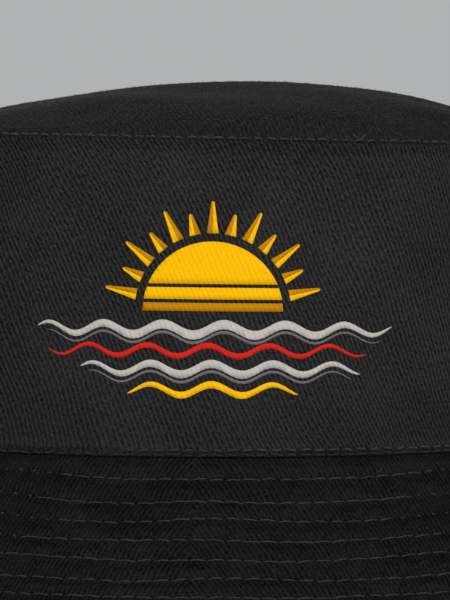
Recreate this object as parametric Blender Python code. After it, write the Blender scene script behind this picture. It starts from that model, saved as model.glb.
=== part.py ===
"""A black cotton twill bucket hat, standing on its brim.

Metres, +Z up. The front faces -Y, the wearer's left is +X. The origin is on the floor under the middle of the
hat. Every ring of the hat is the head oval made larger or smaller by an offset, so a cross-section is a loop
of (offset, height) points that is carried round that oval. Offsets count from the sweatband's inner face. A
point of the top also has its share of the oval's radius.
"""

import math

import bmesh
import bpy

# The head opening has a girth of 580 mm, a medium to large adult head. Unworn, the hat is almost round.
HEAD_HALF_WIDTH = 0.0950
HEAD_HALF_DEPTH = 0.0896

CLOTH = 0.0010  # one ply of twill with its share of interlining
TAPE = 0.0006
GAP = 0.0003  # between plies that are sewn together
OUTER = 2 * CLOTH + GAP  # offset of the crown's outer face at its base

SIDE_HEIGHT = 0.0895
SIDE_TAPER = 0.0085  # how far the side wall leans in by its top
SIDE_BELLY = 0.0015  # how far it bows out half way up
TIP_RISE = 0.0160  # crest of the domed top above its seam
TIP_DOME_SHARE = 0.77  # the rest of the rise is in the rounded shoulder
TIP_SHOULDER_POWER = 12
SEAM_TILT = 0.020  # the top seam falls this much a metre towards +X, as it was sewn

BRIM_WIDTH = 0.059  # along the slope
BRIM_ROOT_SLOPE = math.radians(51)
BRIM_RIM_SLOPE = math.radians(44)
RIM_FOLD = 0.0032  # width of the turned edge

BAND_HEIGHT = 0.031
SEAM_TAPE_DROP = 0.0065  # how far the crown's seam tape reaches down the side wall
SIDE_TAPE_WIDTH = 0.011
TAG_WIDTH = 0.026
TAG_HEIGHT = 0.017

EYELET_ANGLE = math.radians(17.5)  # either side of a side seam
EYELET_HEIGHT = 0.056  # above the base seam
EYELET_HOLE_RADIUS = 0.0016
EYELET_BARREL_RADIUS = 0.0023
EYELET_FLANGE_RADIUS = 0.0047
EYELET_FLANGE = 0.0006
EYELET_CUT_RADIUS = 0.0026  # hole in the cloth

COLUMNS = 72  # facets round the whole hat
RING_FACETS = 20  # round an eyelet
CUT_FACETS = 16  # round the hole it lines
SMOOTH_BELOW = math.radians(40)
MERGE = 1e-6
SIDE_ROWS = 6
BRIM_ROWS = 5
TIP_RINGS = (0.30, 0.55, 0.74, 0.86, 0.93, 0.97, 1.0)  # shares of the top's radius

STACK = 2 * CLOTH + GAP  # both plies of the brim
BRIM_TURN = (BRIM_RIM_SLOPE - BRIM_ROOT_SLOPE) / BRIM_WIDTH
BRIM_FALL = (math.cos(BRIM_ROOT_SLOPE) - math.cos(BRIM_RIM_SLOPE)) / BRIM_TURN
BASE_SEAM = BRIM_FALL + STACK * math.cos(BRIM_RIM_SLOPE)
SIDE_BOTTOM = BASE_SEAM + GAP
SIDE_TOP = SIDE_BOTTOM + SIDE_HEIGHT
TIP_OFFSET = OUTER - SIDE_TAPER  # offset of the crown's outer face at the top seam

BLACK_TWILL = (0.012, 0.012, 0.013, 1)
BLACK_THREAD = (0.035, 0.035, 0.036, 1)
BLACK_TAPE = (0.018, 0.018, 0.019, 1)
TAG_WHITE = (0.62, 0.61, 0.58, 1)


def clear_scene():
    for thing in list(bpy.data.objects):
        bpy.data.objects.remove(thing)


def cloth_material(name, colour, roughness):
    material = bpy.data.materials.new(name)
    material.use_nodes = True
    shader = material.node_tree.nodes["Principled BSDF"]
    shader.inputs["Base Color"].default_value = colour
    shader.inputs["Roughness"].default_value = roughness
    shader.inputs["Metallic"].default_value = 0.0
    return material


def add_object(name, mesh, material):
    """Puts a bmesh in the scene as an object with outward faces and smooth shading."""
    bmesh.ops.recalc_face_normals(mesh, faces=mesh.faces)
    data = bpy.data.meshes.new(name)
    mesh.to_mesh(data)
    mesh.free()
    data.materials.append(material)
    data.shade_smooth()
    data.set_sharp_from_angle(angle=SMOOTH_BELOW)
    thing = bpy.data.objects.new(name, data)
    bpy.context.scene.collection.objects.link(thing)
    return thing


def oval_point(angle, offset, height, share=1.0):
    """A point on the head oval grown by offset, or at a share of its radius.

    Angle 0 is +X, and -90 degrees is the front.
    """
    x = (HEAD_HALF_WIDTH + offset) * share * math.cos(angle)
    y = (HEAD_HALF_DEPTH + offset) * share * math.sin(angle)
    return x, y, height


def full_turn():
    return [2 * math.pi * i / COLUMNS for i in range(COLUMNS)]


def half_turn(start):
    """Angles from one side seam to the other, leaving half a gap at each end."""
    ends = GAP / 2 / HEAD_HALF_DEPTH
    angles = [start + 2 * math.pi * i / COLUMNS for i in range(COLUMNS // 2 + 1)]
    return [angles[0] + ends] + angles[1:-1] + [angles[-1] - ends]


def swept(name, section, angles, material):
    """Carries a closed cross-section round the oval. section(angle) gives its points."""
    mesh = bmesh.new()
    loops = [[mesh.verts.new(oval_point(angle, *p)) for p in section(angle)] for angle in angles]
    closed = len(angles) == COLUMNS
    for first, second in zip(loops, loops[1:] + (loops[:1] if closed else [])):
        for i in range(len(first)):
            mesh.faces.new((first[i - 1], first[i], second[i], second[i - 1]))
    if not closed:
        mesh.faces.new(loops[0])
        mesh.faces.new(loops[-1])
    return add_object(name, mesh, material)


def side_outer(share):
    """Offset of the side wall's outer face at a share of its height."""
    return OUTER - SIDE_TAPER * share + SIDE_BELLY * math.sin(math.pi * share)


def tilt_at(angle, share):
    """How far the tilted top seam lowers the side wall there."""
    x = (HEAD_HALF_WIDTH + side_outer(share)) * math.cos(angle)
    return SEAM_TILT * x * share


def side_section(angle):
    shares = [i / SIDE_ROWS for i in range(SIDE_ROWS + 1)]
    outer = [(side_outer(s), SIDE_BOTTOM + SIDE_HEIGHT * s - tilt_at(angle, s)) for s in shares]
    inner = [(offset - CLOTH, height) for offset, height in outer]
    return outer + inner[::-1]


def brim_point(along, depth):
    """The brim's section: along is the way down its slope, depth the way in from its upper face."""
    slope = BRIM_ROOT_SLOPE + BRIM_TURN * along
    offset = OUTER + (math.sin(slope) - math.sin(BRIM_ROOT_SLOPE)) / BRIM_TURN
    height = BASE_SEAM + (math.cos(slope) - math.cos(BRIM_ROOT_SLOPE)) / BRIM_TURN
    return offset - depth * math.sin(slope), height - depth * math.cos(slope)


def brim_steps(end):
    return [end * i / BRIM_ROWS for i in range(BRIM_ROWS + 1)]


def brim_top_section(_angle):
    """The upper ply, whose rim is turned under the lower one and is flat where it meets the floor."""
    fold = BRIM_WIDTH - RIM_FOLD
    upper = [brim_point(s, 0) for s in brim_steps(BRIM_WIDTH)]
    rim = [(upper[-1][0], 0.0), brim_point(BRIM_WIDTH, STACK), brim_point(fold, STACK)]
    lower = [brim_point(s, CLOTH) for s in brim_steps(fold)]
    return upper + rim + lower[::-1]


def brim_under_section(_angle):
    end = BRIM_WIDTH - RIM_FOLD - GAP
    upper = [brim_point(s, CLOTH + GAP) for s in brim_steps(end)]
    lower = [brim_point(s, STACK) for s in brim_steps(end)]
    return upper + lower[::-1]


def band_section(_angle):
    """The sweatband stands up from the base seam and lies against the wall at its foot."""
    foot = brim_point(0, CLOTH + GAP)[1] + GAP
    lean = SIDE_TAPER * BAND_HEIGHT / SIDE_HEIGHT
    return [(CLOTH, foot), (CLOTH - lean, foot + BAND_HEIGHT), (-lean, foot + BAND_HEIGHT), (0, foot)]


def tip_profile(share):
    """Height of the top above its seam, as a share of its rise, at a share of its radius."""
    dome = 1 - share**2
    shoulder = 1 - share**TIP_SHOULDER_POWER
    return TIP_DOME_SHARE * dome + (1 - TIP_DOME_SHARE) * shoulder


def tip_height(share, angle, depth):
    """Height of the top's outer face, or of its inner face when depth is the cloth's thickness."""
    x = (HEAD_HALF_WIDTH + TIP_OFFSET) * share * math.cos(angle)
    return SIDE_TOP + GAP - SEAM_TILT * x * share + (TIP_RISE - depth) * tip_profile(share)


def tip_point(share, angle, depth):
    return oval_point(angle, TIP_OFFSET - depth, tip_height(share, angle, depth), share)


def make_tip(material):
    """The domed top panel, an outer and an inner face that meet in a flat rim on the side wall."""
    mesh = bmesh.new()
    rings = []
    for depth in (0, CLOTH):
        centre = mesh.verts.new(tip_point(0, 0, depth))
        face_rings = [[mesh.verts.new(tip_point(s, a, depth)) for a in full_turn()] for s in TIP_RINGS]
        for i in range(COLUMNS):
            mesh.faces.new((centre, face_rings[0][i - 1], face_rings[0][i]))
        for first, second in zip(face_rings, face_rings[1:]):
            for i in range(COLUMNS):
                mesh.faces.new((first[i - 1], first[i], second[i], second[i - 1]))
        rings.append(face_rings[-1])
    for i in range(COLUMNS):
        mesh.faces.new((rings[0][i - 1], rings[0][i], rings[1][i], rings[1][i - 1]))
    return add_object("crown_tip", mesh, material)


def seam_tape_face(angle, depth):
    """The tape over the top seam, up the side wall's inner face and over the shoulder's outer rings."""
    low = 1 - SEAM_TAPE_DROP / SIDE_HEIGHT
    points = [
        (side_outer(low) - CLOTH - depth, SIDE_TOP - SEAM_TAPE_DROP - tilt_at(angle, low)),
        (TIP_OFFSET - CLOTH - depth, SIDE_TOP - depth / 2 - tilt_at(angle, 1)),
    ]
    for share in TIP_RINGS[-2:-4:-1]:
        height = tip_height(share, angle, CLOTH) - depth
        points.append((TIP_OFFSET - CLOTH - depth, height, share))
    return points


def seam_tape_section(angle):
    return seam_tape_face(angle, GAP) + seam_tape_face(angle, GAP + TAPE)[::-1]


def side_tape_section(angle):
    """The tape over a side seam, between the sweatband and the top seam's tape."""
    low = (band_section(angle)[1][1] + GAP - SIDE_BOTTOM) / SIDE_HEIGHT
    high = 1 - (SEAM_TAPE_DROP + GAP) / SIDE_HEIGHT
    steps = 4
    shares = [low + (high - low) * i / steps for i in range(steps + 1)]
    outer = [
        (side_outer(s) - CLOTH - GAP, SIDE_BOTTOM + SIDE_HEIGHT * s - tilt_at(angle, s)) for s in shares
    ]
    inner = [(offset - TAPE, height) for offset, height in outer]
    return outer + inner[::-1]


def tag_section(_angle):
    """A blank folded tag that hangs against the sweatband's inner face from its upper edge."""
    _, head, inner_head, foot = band_section(0)
    lean = (foot[0] - inner_head[0]) / BAND_HEIGHT
    top = head[1] - GAP
    face = [(inner_head[0] - GAP, top), (inner_head[0] - GAP + lean * TAG_HEIGHT, top - TAG_HEIGHT)]
    back = [(offset - CLOTH, height) for offset, height in face]
    return face + back[::-1]


def spread_angles(middle, width, half_size, pieces):
    """Angles of a narrow strip of that width, centred on middle."""
    half = width / 2 / half_size
    return [middle - half + 2 * half * i / pieces for i in range(pieces + 1)]


def eyelet_frame(angle):
    """Where an eyelet sits on the side wall: its middle and the direction out of the wall."""
    share = EYELET_HEIGHT / SIDE_HEIGHT
    step = 2 * math.pi / COLUMNS
    first = math.floor(angle / step) * step
    offset = side_outer(share) - CLOTH / 2
    height = SIDE_BOTTOM + EYELET_HEIGHT - tilt_at(angle, share)
    ends = [oval_point(a, offset, height) for a in (first, first + step)]
    middle = [(a + b) / 2 for a, b in zip(*ends)]
    run = [b - a for a, b in zip(*ends)]
    near = 0.1
    lean = (side_outer(share - near) - side_outer(share + near)) / (2 * near * SIDE_HEIGHT)
    size = math.hypot(run[0], run[1])
    return middle, (run[1] / size, -run[0] / size, lean)


def turned(name, profile, facets, material):
    """A ring turned about its own Z axis from a closed (radius, height) profile."""
    mesh = bmesh.new()
    verts = [mesh.verts.new((radius, 0, height)) for radius, height in profile]
    edges = [mesh.edges.new((verts[i - 1], verts[i])) for i in range(len(verts))]
    bmesh.ops.spin(
        mesh, geom=verts + edges, cent=(0, 0, 0), axis=(0, 0, 1), angle=2 * math.pi, steps=facets,
        use_merge=True,
    )
    bmesh.ops.remove_doubles(mesh, verts=mesh.verts, dist=MERGE)
    return add_object(name, mesh, material)


def eyelet_profile():
    """A sewn eyelet: a barrel through the wall with a flat flange on each side of it."""
    inside = CLOTH / 2 + GAP
    outside = inside + EYELET_FLANGE
    return [
        (EYELET_HOLE_RADIUS, -outside), (EYELET_FLANGE_RADIUS, -outside),
        (EYELET_FLANGE_RADIUS, -inside), (EYELET_BARREL_RADIUS, -inside),
        (EYELET_BARREL_RADIUS, inside), (EYELET_FLANGE_RADIUS, inside),
        (EYELET_FLANGE_RADIUS, outside), (EYELET_HOLE_RADIUS, outside),
    ]


def aim(thing, middle, direction):
    """Places a turned piece on the wall, with its axis along direction."""
    flat = math.hypot(direction[0], direction[1])
    thing.rotation_euler = (0, math.atan2(flat, direction[2]), math.atan2(direction[1], direction[0]))
    thing.location = middle


def add_eyelet(name, angle, wall, material):
    """A sewn eyelet, and the round hole that it lines in its panel."""
    middle, direction = eyelet_frame(angle)
    aim(turned(name, eyelet_profile(), RING_FACETS, material), middle, direction)
    reach = 4 * CLOTH
    profile = [(0.0, -reach), (EYELET_CUT_RADIUS, -reach), (EYELET_CUT_RADIUS, reach), (0.0, reach)]
    cutter = turned("cut_" + name, profile, CUT_FACETS, material)
    aim(cutter, middle, direction)
    cutter.hide_render = True
    cutter.display_type = "WIRE"
    cut = wall.modifiers.new(cutter.name, "BOOLEAN")
    cut.object = cutter
    cut.operation = "DIFFERENCE"
    cut.solver = "EXACT"


def main():
    clear_scene()
    twill = cloth_material("black_twill", BLACK_TWILL, 0.95)
    thread = cloth_material("black_thread", BLACK_THREAD, 0.6)
    tape = cloth_material("black_tape", BLACK_TAPE, 0.85)
    satin = cloth_material("tag_satin", TAG_WHITE, 0.5)

    front, back = -math.pi, 0.0  # where each half starts, going round by +Z
    make_tip(twill)
    side_front = swept("side_panel_front", side_section, half_turn(front), twill)
    side_back = swept("side_panel_back", side_section, half_turn(back), twill)
    for place, start in (("front", front), ("back", back)):
        swept("brim_top_" + place, brim_top_section, half_turn(start), twill)
        swept("brim_under_" + place, brim_under_section, half_turn(start), twill)

    swept("sweatband", band_section, full_turn(), tape)
    swept("top_seam_tape", seam_tape_section, full_turn(), tape)
    for place, angle in (("left", 0.0), ("right", math.pi)):
        strip = spread_angles(angle, SIDE_TAPE_WIDTH, HEAD_HALF_DEPTH, 2)
        swept("side_seam_tape_" + place, side_tape_section, strip, tape)
    tag = spread_angles(math.pi / 2, TAG_WIDTH, HEAD_HALF_WIDTH, 4)
    swept("size_tag", tag_section, tag, satin)

    eyelets = (  # name, angle, panel
        ("eyelet_left_back", EYELET_ANGLE, side_back),
        ("eyelet_right_back", math.pi - EYELET_ANGLE, side_back),
        ("eyelet_right_front", EYELET_ANGLE - math.pi, side_front),
        ("eyelet_left_front", -EYELET_ANGLE, side_front),
    )
    for name, angle, wall in eyelets:
        add_eyelet(name, angle, wall, thread)


main()
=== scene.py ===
"""The looks of a black cotton twill bucket hat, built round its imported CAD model.

Metres, +Z up, the front towards -Y. Every panel is a closed shell of cloth. A shell's columns follow the
ribs of the twill, so the ribs are real relief, and its rows are closest together at the seams and stitch
rows. A place on a panel is given by two lengths: u goes round the hat at the base seam, from the middle of
the front or back towards the side seams, and the other goes up the crown's side, or down the brim's slope.
"""

import math

import bmesh
import bpy
import numpy as np
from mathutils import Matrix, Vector, geometry


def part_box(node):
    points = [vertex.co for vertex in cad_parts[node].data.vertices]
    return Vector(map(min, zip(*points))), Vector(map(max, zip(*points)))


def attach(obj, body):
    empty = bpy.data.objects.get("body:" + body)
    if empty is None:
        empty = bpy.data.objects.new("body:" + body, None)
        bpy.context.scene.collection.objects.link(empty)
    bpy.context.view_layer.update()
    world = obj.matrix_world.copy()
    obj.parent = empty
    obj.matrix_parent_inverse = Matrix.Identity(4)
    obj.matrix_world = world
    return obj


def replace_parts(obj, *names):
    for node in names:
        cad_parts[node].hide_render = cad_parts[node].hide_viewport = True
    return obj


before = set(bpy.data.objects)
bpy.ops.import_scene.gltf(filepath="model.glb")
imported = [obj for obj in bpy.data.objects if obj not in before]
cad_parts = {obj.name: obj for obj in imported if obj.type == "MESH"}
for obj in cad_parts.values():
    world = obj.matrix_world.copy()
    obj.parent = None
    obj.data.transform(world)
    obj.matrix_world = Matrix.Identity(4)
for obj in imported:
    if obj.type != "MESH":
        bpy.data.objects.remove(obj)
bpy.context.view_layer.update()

MM = 0.001


def mm(*values):
    return tuple(value * MM for value in values)


# Sizes from the frame.
wall_low, wall_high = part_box("side_panel_front")
brim_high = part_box("brim_top_front")[1]
tip_low, tip_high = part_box("crown_tip")
band_low, band_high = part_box("sweatband")
BASE_A, BASE_B = wall_high.x, -wall_low.y
TOP_A, TOP_B = tip_high.x, -tip_low.y
BRIM_A = brim_high.x
BASE_Z = brim_high.z
SEAM_SINK = 0.7 * MM  # how far its stitches pull the top seam down
SEAM_Z = (wall_high.z + tip_low.z) / 2 - SEAM_SINK
CREST_Z = tip_high.z
BAND_A, BAND_B = band_high.x, -band_low.y
BAND_Z = band_low.z
BAND_HEIGHT = band_high.z - band_low.z

# Sizes that the frame's boxes don't give.
CLOTH = 1.0 * MM
TAPE = 0.6 * MM
GAP = 0.3 * MM
HAIRLINE = 0.05 * MM  # between edges that are sewn together
BRIM_STACK = 2 * CLOTH + GAP
WALL_TUCK = 0.75 * MM  # how far the wall's lining goes down inside the brim's edge
BAND_TUCKS = mm(0.38, 1.38)  # how far the sweatband's outer and inner face go down past its foot
SIDE_BELLY = 1.5 * MM  # how far the side stands out halfway up
SEAM_TILT = 0.020  # how much the top seam falls for each length towards +X
BRIM_ROOT_SLOPE = math.radians(51)
BRIM_RIM_SLOPE = math.radians(44)
BRIM_FLARE = 1.3 * MM  # how much higher the brim stands to either side of the front's and back's middle
RIM_FOLD = 3.2 * MM  # how much of the upper ply is turned under at the rim
RIM_NOSE = 0.53 * MM  # from the brim's full width back to the middle of its rounded edge
TIP_DOME_SHARE = 0.77  # of the top's rise that is a dome, where the rest is flat with a round shoulder
TIP_SHOULDER_POWER = 12
TIP_LEVELLING = 2.1  # how much of the top seam's tilt the dome takes back at its crest
BAND_LEAN = 2.95 * MM  # inwards, from foot to upper edge
STRIP_END = 0.0006  # radians, from the middle of the back to either end of a strip that goes all round
SEAM_TAPE_DROP = 6.5 * MM  # how far it comes down the side

WALL_Z = BASE_Z + HAIRLINE
WALL_HEIGHT = SEAM_Z - HAIRLINE - WALL_Z
SIDE_TAPER = BASE_A - TOP_A
BRIM_REACH = BRIM_A - BASE_A
BRIM_TURN = (math.sin(BRIM_RIM_SLOPE) - math.sin(BRIM_ROOT_SLOPE)) / BRIM_REACH
BRIM_WIDTH = (BRIM_RIM_SLOPE - BRIM_ROOT_SLOPE) / BRIM_TURN
TIP_Z = SEAM_Z + HAIRLINE
TIP_RISE = CREST_Z - TIP_Z

# The twill.
RIB_PITCH = 1.34 * MM  # from rib to rib, square to them
RIB_HEIGHT = 0.068 * MM
WALL_RIB_SLOPE = 0.45  # sideways for each length down
WALL_RIB_BOW = 0.14  # how much the slope differs at the top and foot, away from the middle
WALL_RIB_SKEW = 0.19  # how much more it differs at the top of the left half
WALL_RIB_BOW_REACH = 45 * MM
WALL_RIB_CROWDING = 1.07  # at the middle
WALL_RIB_EASE = (0.22, 0.02)  # what it loses to the left and right over the length below
WALL_RIB_EASE_OVER, WALL_RIB_EASE_END = mm(60, 68)
WALL_RIB_TOP_TURN, WALL_RIB_TOP_FROM = 0.0128 / MM, 29 * MM  # slope gained from this far above halfway up
WALL_RIB_FOOT_TURN, WALL_RIB_FOOT_FROM = 0.011 / MM, 25 * MM  # and from this far below, away from the middle
WALL_RIB_HOLLOW, WALL_RIB_HOLLOW_REACH = 0.13, 24 * MM  # slope lost halfway up the right half
BRIM_RIB_PITCH = 1.39 * MM
BRIM_RIB_ANGLES = (math.radians(27), math.radians(34))  # to the left and right of where they meet
BRIM_RIB_MEET = -8 * MM  # where the front brim's ribs change hands, beside the middle
BRIM_RIB_SHARE = 0.7  # of the height of the ribs elsewhere
TIP_RIB_ANGLE = math.radians(16)

# The stitches.
THREAD = 0.20 * MM  # radius
SEAM_STITCH = 4.1 * MM
SEAM_STITCH_LENGTH = 2.9 * MM
BRIM_STITCH = 4.9 * MM
BRIM_STITCH_LENGTH = 4.2 * MM
BRIM_GIRTH, TOP_GIRTH = 1.12, 1.2  # of the stitches along the brim and the top seam, in threads
BRIM_ROW_STRETCH = (1.0, 1.15, 1.0, 1.1, 1.04, 1.0, 1.06, 1.0)  # of its stitches' length
BRIM_ROWS = mm(7.2, 15.2, 21.3, 28.5, 35.2, 41.5, 48.6, 55.8)
BRIM_TIGHT_FROM = ((47.5, 58), (49, 51), (42, 44), (51, 52))  # mm to the left and right, row by row
BRIM_TIGHT_TO = 84 * MM  # where it stops
SWALLOWED_SHARE = 0.82  # of a stitch's length, where its row is tightest
BRIM_ROW_SAGS = mm(0.1, 0.3, 1.4, 0.9, 0.7, 1.8, 0.1, 0.1)  # away from the middle
BASE_ROWS = mm(2.1, 0.8)  # above the base seam
BASE_STITCH_LENGTHS = mm(2.6, 3.3)
BASE_STITCH_GIRTHS = (1.5, 0.75)
BASE_SUNK = mm(-96, -27)  # where the upper row lies too deep in the cloth to show
TIP_ROW = 0.5 * MM  # in from the top seam
SIDE_SEAM_ROW = 1.5 * MM  # either side of a side seam
BAND_ROWS = (2.2 * MM, BAND_HEIGHT - 3 * MM)
BAND_STITCHES = 144

FRONT, BACK = 1, -1
SIDES = (("front", FRONT), ("back", BACK))


def smooth(low, high, value):
    t = np.clip((value - low) / (high - low), 0, 1)
    return t * t * (3 - 2 * t)


def bell(distance, width):
    return np.exp(-((distance / width) ** 2))


def arc_table(half_width, half_depth, steps=7200):
    """Turn from the centre front, and the length round the oval to it."""
    turn = np.linspace(-np.pi, np.pi, steps + 1)
    speed = np.hypot(half_width * np.cos(turn), half_depth * np.sin(turn))
    arc = np.concatenate(([0], np.cumsum((speed[1:] + speed[:-1]) / 2) * (turn[1] - turn[0])))
    return turn, arc - arc[steps // 2]


BASE_TURN, BASE_ARC = arc_table(BASE_A, BASE_B)
QUARTER = float(np.interp(np.pi / 2, BASE_TURN, BASE_ARC))
PANEL_END = QUARTER - HAIRLINE
CONE = (BASE_A + BASE_B) / 2 / math.cos((BRIM_ROOT_SLOPE + BRIM_RIM_SLOPE) / 2)


def turn_at(u):
    return np.interp(u, BASE_ARC, BASE_TURN)


def spokes(angle, across, up):
    """Unit vectors at angles from one direction towards another."""
    return np.cos(angle)[:, None] * across + np.sin(angle)[:, None] * up


def oval(half_width, half_depth, turn, side=FRONT):
    """x and y on an oval, at a turn from the middle of the front or back."""
    return side * half_width * np.sin(turn), -side * half_depth * np.cos(turn)


def drift(points, wavelength, seed, waves=7):
    """A soft random field over points, from -1 to 1 or so, the same on each run."""
    chance = np.random.RandomState(seed)
    total = np.zeros(points.shape[:-1])
    for _ in range(waves):
        way = chance.normal(size=3)
        way *= 2 * np.pi / wavelength / np.linalg.norm(way) * chance.uniform(0.7, 1.4)
        total += np.sin(points @ way + chance.uniform(0, 2 * np.pi))
    return total / math.sqrt(waves / 2)


def stacked(*parts):
    return np.stack(np.broadcast_arrays(*parts), axis=-1)


def unit(vectors):
    return vectors / np.linalg.norm(vectors, axis=-1, keepdims=True)


def level_out(turn, side):
    """The level direction out of the base seam's oval."""
    return unit(stacked(side * np.sin(turn) / BASE_A, -side * np.cos(turn) / BASE_B))


def rib_relief(ribs):
    """A rib's height, 0 to 1, from the number of ribs counted off to a place."""
    return np.sin(np.pi * ribs) ** 4


def rib_wander(u, v, seed):
    """How many ribs the weave is out of place, as cloth is that was cut and sewn by hand."""
    place = stacked(u, v, 0.0)
    return 0.20 * drift(place, 26 * MM, seed) + 0.05 * drift(place, 7 * MM, seed + 1)


def stitches_of(pitch):
    """How many stitches of about that pitch go into half the hat."""
    return 2 * round(QUARTER / pitch)


def stitch_pull(distance, along, count, depth, width):
    """The cloth's dip at a row of count stitches between two side seams, deepest at the needle's holes."""
    holes = np.cos(np.pi * (along / QUARTER + 1) * count)
    return -depth * (0.65 + 0.35 * holes) * bell(distance, width)


SEAM_COUNT = stitches_of(SEAM_STITCH)


# The side wall of the crown: u round the hat, h up from its lower edge.


def wall_offset(share):
    """How far the wall stands out from its foot at a share of its height."""
    return SIDE_BELLY * np.sin(np.pi * share) - SIDE_TAPER * share


def wall_place(u, h, side, depth=0.0):
    """A point on the side wall before its relief, at a depth in it, and the direction out of the cloth."""
    turn = turn_at(u)
    share = h / WALL_HEIGHT
    offset = wall_offset(share) - depth
    x, y = oval(BASE_A + offset, BASE_B + offset, turn, side)
    z = WALL_Z + h - SEAM_TILT * x * share
    lean = (SIDE_TAPER - SIDE_BELLY * np.pi * np.cos(np.pi * share)) / WALL_HEIGHT
    level = level_out(turn, side)
    return stacked(x, y, z), unit(stacked(level[..., 0], level[..., 1], lean))


def wall_ribs(u, h):
    """The number of ribs counted off to a place on the side wall."""
    shrink = 1 - SIDE_TAPER * h / WALL_HEIGHT / BASE_A
    v = h - WALL_HEIGHT / 2
    near = np.clip(u, -WALL_RIB_EASE_END, WALL_RIB_EASE_END)
    far = (WALL_RIB_EASE_END / WALL_RIB_EASE_OVER) ** 2 * (u - near)
    eased = np.where(u < 0, *WALL_RIB_EASE) * (near**3 / (3 * WALL_RIB_EASE_OVER**2) + far)
    crowded = WALL_RIB_CROWDING * u - eased
    away = np.tanh(u / WALL_RIB_BOW_REACH)
    bow = WALL_RIB_BOW * away * v**2 / WALL_HEIGHT
    skewed = np.maximum(-away, 0) * (1 - 0.8 * smooth(52 * MM, 74 * MM, -u))
    skew = WALL_RIB_SKEW * skewed * 4 / 3 * np.maximum(v, 0) ** 3 / WALL_HEIGHT**2
    at_top = np.maximum(v - WALL_RIB_TOP_FROM, 0) ** 2 / 2 * smooth(-50 * MM, 20 * MM, u)
    at_foot = np.maximum(-v - WALL_RIB_FOOT_FROM, 0) ** 2 / 2 * away
    right = smooth(30 * MM, 60 * MM, u)
    hollow = WALL_RIB_HOLLOW_REACH * np.tanh((v + 5 * MM) / WALL_RIB_HOLLOW_REACH) * right
    turned = WALL_RIB_TOP_TURN * at_top - WALL_RIB_FOOT_TURN * at_foot - WALL_RIB_HOLLOW * hollow
    across = crowded * shrink + WALL_RIB_SLOPE * v - bow + skew + turned
    return across * math.cos(math.atan(WALL_RIB_SLOPE)) / RIB_PITCH + rib_wander(u, v, seed=51)


def wall_relief(u, h, point):
    """How far the side wall's outer face stands out from its plain shape, without its ribs."""
    top = WALL_HEIGHT - h
    seam = QUARTER - np.abs(u)
    swell = 0.35 * MM * drift(point, 60 * MM, seed=11) * smooth(0, 12 * MM, np.minimum(h, top))
    ridge = 0.5 * MM * (smooth(0, 0.35 * MM, h) - smooth(2.4 * MM, 3.6 * MM, h))
    rolled = -0.5 * MM * (1 - smooth(-0.2 * MM, 0.6 * MM, h))
    rows = sum(stitch_pull(h - row, u, SEAM_COUNT, 0.16 * MM, 0.45 * MM) for row in BASE_ROWS)
    flare = 0.6 * MM * (1 - smooth(0.8 * MM, 4.2 * MM, top))
    tucked = flare - 1.0 * MM * bell(top, 0.45 * MM)
    puckers = stitch_pull(top - 1.0 * MM, u, SEAM_COUNT, 0.10 * MM, 1.6 * MM)
    side_seam = -0.7 * MM * bell(seam, 0.6 * MM) + 0.15 * MM * bell(seam - SIDE_SEAM_ROW, 1.2 * MM)
    return swell + ridge + rolled + rows + tucked + puckers + side_seam


def wall_cloth(u, h, side, ribs=True):
    """The finished outer face of the side wall, and the direction out of it."""
    point, normal = wall_place(u, h, side)
    relief = wall_relief(u, h, point)
    if ribs:
        pressed = 0.2 + 0.5 * smooth(2.0 * MM, 3.2 * MM, h) + 0.3 * smooth(5 * MM, 28 * MM, h)
        faded = smooth(0, 0.8 * MM, WALL_HEIGHT - h) * smooth(0.2 * MM, 1.0 * MM, QUARTER - np.abs(u))
        relief = relief + RIB_HEIGHT * pressed * faded * (rib_relief(wall_ribs(u, h)) - 0.5)
    return point + relief[..., None] * normal, normal


# The brim: u round the hat at the base seam, s down the slope from it.


def brim_place(u, s, depth, side):
    """A point at a depth under the brim's upper face before its relief, and the direction out of it."""
    turn = turn_at(u)
    slope = BRIM_ROOT_SLOPE + BRIM_TURN * s
    run = (np.sin(slope) - math.sin(BRIM_ROOT_SLOPE)) / BRIM_TURN - depth * np.sin(slope)
    x, y = oval(BASE_A + run, BASE_B + run, turn, side)
    z = BASE_Z + (np.cos(slope) - math.cos(BRIM_ROOT_SLOPE)) / BRIM_TURN - depth * np.cos(slope)
    away = np.abs(turn)
    flare = smooth(math.radians(8), math.radians(38), away) * (1 - smooth(1.1, 1.5, away))
    held = smooth(0, 7 * MM, s) * (1 - smooth(44 * MM, BRIM_WIDTH - 2 * MM, s))
    z = z + BRIM_FLARE * flare * held
    level = level_out(turn, side)
    normal = stacked(level[..., 0] * np.sin(slope), level[..., 1] * np.sin(slope), np.cos(slope))
    return stacked(x, y, z), normal


def rib_meet(side):
    return BRIM_RIB_MEET if side == FRONT else 0.0


def brim_weave(u, s, side):
    """Ribs counted off to a place on a half brim, cut as part of a ring, and the way along them."""
    away = u - rib_meet(side)
    angle = np.abs(away) / CONE - np.where(away < 0, *BRIM_RIB_ANGLES)
    ribs = (CONE + s) * np.sin(angle) / BRIM_RIB_PITCH
    return ribs + rib_wander(u, s, seed=61), (CONE + s) * np.cos(angle) / BRIM_RIB_PITCH


def row_path(row, u, side):
    """A brim row's distance down the slope, which wanders a little as it was sewn."""
    phase = 1.7 * row + 0.8 * side
    wander = np.sin(u / (21 * MM) + phase) + 0.7 * np.sin(u / (8.3 * MM) + 2.3 * phase)
    away = np.abs(u)
    sag = smooth(2 * MM, 28 * MM, away) * (1 - 0.6 * smooth(46 * MM, 62 * MM, away))
    return BRIM_ROWS[row] + 0.15 * MM * wander + BRIM_ROW_SAGS[row] * sag


def tightness(u, start, end):
    """How tight the brim is sewn at either side, 0 to 1. It rises from start to end."""
    away = np.abs(u)
    return smooth(start, end, away) * (1 - smooth(BRIM_TIGHT_TO - 6 * MM, BRIM_TIGHT_TO, away))


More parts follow.
